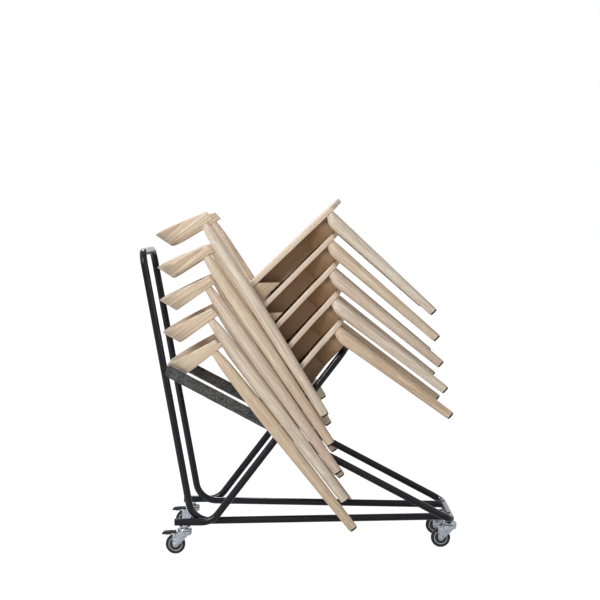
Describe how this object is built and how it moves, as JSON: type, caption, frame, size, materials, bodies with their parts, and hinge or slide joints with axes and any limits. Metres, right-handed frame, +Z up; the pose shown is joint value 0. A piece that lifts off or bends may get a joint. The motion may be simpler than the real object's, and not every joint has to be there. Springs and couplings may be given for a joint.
{
  "type": "nesting chairs on a trolley",
  "caption": "Wooden armchairs with round legs, dished seats and bent backrests, nested and tilted on a black tube trolley with swivel castors.",
  "frame": {"origin": "the middle of the object's box, on the floor where the tyres stand", "axes": "+Z up, +X from the push handle to the trolley's nose, +Y to the left of whoever pushes it"},
  "size_m": [0.9762, 0.5326, 1.0806],
  "materials": {
    "wood": "pale beech under a clear matt lacquer",
    "black_steel": "satin black powder coat",
    "felt": "dark grey felted sleeve",
    "zinc": "bright zinc plate",
    "tyre": "grey-black solid tyre",
    "wheel_core": "grey moulded plastic",
    "dark_plastic": "dark moulded plastic"
  },
  "bodies": {
    "trolley": {"handle_loop": "black_steel", "rail_loop": "black_steel", "brace_loop": "black_steel", "rail_pad_right": "felt", "rail_pad_left": "felt", "stub_cap_right": "dark_plastic", "stub_cap_left": "dark_plastic", "castor_handle_right_stem": "zinc", "castor_handle_left_stem": "zinc", "castor_nose_right_stem": "zinc", "castor_nose_left_stem": "zinc"},
    "castor_handle_right_swivel": {"castor_handle_right_fork": "zinc"},
    "castor_handle_right_wheel": {"castor_handle_right_core": "wheel_core", "castor_handle_right_tyre": "tyre"},
    "castor_handle_right_brake": {"castor_handle_right_pedal": "dark_plastic"},
    "castor_handle_left_swivel": {"castor_handle_left_fork": "zinc"},
    "castor_handle_left_wheel": {"castor_handle_left_core": "wheel_core", "castor_handle_left_tyre": "tyre"},
    "castor_handle_left_brake": {"castor_handle_left_pedal": "dark_plastic"},
    "castor_nose_right_swivel": {"castor_nose_right_fork": "zinc"},
    "castor_nose_right_wheel": {"castor_nose_right_core": "wheel_core", "castor_nose_right_tyre": "tyre"},
    "castor_nose_left_swivel": {"castor_nose_left_fork": "zinc"},
    "castor_nose_left_wheel": {"castor_nose_left_core": "wheel_core", "castor_nose_left_tyre": "tyre"},
    "chair_1": {"chair_1_backrest": "wood", "chair_1_seat": "wood", "chair_1_seat_frame": "wood", "chair_1_rear_leg_right": "wood", "chair_1_rear_leg_left": "wood", "chair_1_front_leg_right": "wood", "chair_1_front_leg_left": "wood"},
    "chair_2": {"chair_2_backrest": "wood", "chair_2_seat": "wood", "chair_2_seat_frame": "wood", "chair_2_rear_leg_right": "wood", "chair_2_rear_leg_left": "wood", "chair_2_front_leg_right": "wood", "chair_2_front_leg_left": "wood"},
    "chair_3": {"chair_3_backrest": "wood", "chair_3_seat": "wood", "chair_3_seat_frame": "wood", "chair_3_rear_leg_right": "wood", "chair_3_rear_leg_left": "wood", "chair_3_front_leg_right": "wood", "chair_3_front_leg_left": "wood"},
    "chair_4": {"chair_4_backrest": "wood", "chair_4_seat": "wood", "chair_4_seat_frame": "wood", "chair_4_rear_leg_right": "wood", "chair_4_rear_leg_left": "wood", "chair_4_front_leg_right": "wood", "chair_4_front_leg_left": "wood"},
    "chair_5": {"chair_5_backrest": "wood", "chair_5_seat": "wood", "chair_5_seat_frame": "wood", "chair_5_rear_leg_right": "wood", "chair_5_rear_leg_left": "wood", "chair_5_front_leg_right": "wood", "chair_5_front_leg_left": "wood"}
  },
  "joints": [
    {"name": "castor_handle_right_turn", "type": "hinge", "parent": "trolley", "child": "castor_handle_right_swivel", "pos_m": [-0.34943, -0.2103, 0.07], "axis": [0, 0, 1], "continuous": true},
    {"name": "castor_handle_right_roll", "type": "hinge", "parent": "castor_handle_right_swivel", "child": "castor_handle_right_wheel", "pos_m": [-0.37743, -0.2103, 0.03], "axis": [0, 1, 0], "continuous": true},
    {"name": "castor_handle_right_press", "type": "hinge", "parent": "castor_handle_right_swivel", "child": "castor_handle_right_brake", "pos_m": [-0.38043, -0.2103, 0.055], "axis": [0, -1, 0], "range_deg": [0, 6]},
    {"name": "castor_handle_left_turn", "type": "hinge", "parent": "trolley", "child": "castor_handle_left_swivel", "pos_m": [-0.34943, 0.2103, 0.07], "axis": [0, 0, 1], "continuous": true},
    {"name": "castor_handle_left_roll", "type": "hinge", "parent": "castor_handle_left_swivel", "child": "castor_handle_left_wheel", "pos_m": [-0.37743, 0.2103, 0.03], "axis": [0, 1, 0], "continuous": true},
    {"name": "castor_handle_left_press", "type": "hinge", "parent": "castor_handle_left_swivel", "child": "castor_handle_left_brake", "pos_m": [-0.38043, 0.2103, 0.055], "axis": [0, -1, 0], "range_deg": [0, 6]},
    {"name": "castor_nose_right_turn", "type": "hinge", "parent": "trolley", "child": "castor_nose_right_swivel", "pos_m": [0.46607, -0.108, 0.07], "axis": [0, 0, 1], "continuous": true},
    {"name": "castor_nose_right_roll", "type": "hinge", "parent": "castor_nose_right_swivel", "child": "castor_nose_right_wheel", "pos_m": [0.43807, -0.108, 0.03], "axis": [0, 1, 0], "continuous": true},
    {"name": "castor_nose_left_turn", "type": "hinge", "parent": "trolley", "child": "castor_nose_left_swivel", "pos_m": [0.46607, 0.108, 0.07], "axis": [0, 0, 1], "continuous": true},
    {"name": "castor_nose_left_roll", "type": "hinge", "parent": "castor_nose_left_swivel", "child": "castor_nose_left_wheel", "pos_m": [0.43807, 0.108, 0.03], "axis": [0, 1, 0], "continuous": true},
    {"name": "chair_1_lift", "type": "slide", "parent": "trolley", "child": "chair_1", "axis": [-0.0523, 0, 0.9986], "range_m": [0, 0.5]},
    {"name": "chair_2_lift", "type": "slide", "parent": "chair_1", "child": "chair_2", "axis": [-0.153, 0, 0.9882], "range_m": [0, 0.45]},
    {"name": "chair_3_lift", "type": "slide", "parent": "chair_2", "child": "chair_3", "axis": [-0.1736, 0, 0.9848], "range_m": [0, 0.5]},
    {"name": "chair_4_lift", "type": "slide", "parent": "chair_3", "child": "chair_4", "axis": [-0.2079, 0, 0.9781], "range_m": [0, 0.5]},
    {"name": "chair_5_lift", "type": "slide", "parent": "chair_4", "child": "chair_5", "axis": [-0.2079, 0, 0.9781], "range_m": [0, 0.5]}
  ]
}
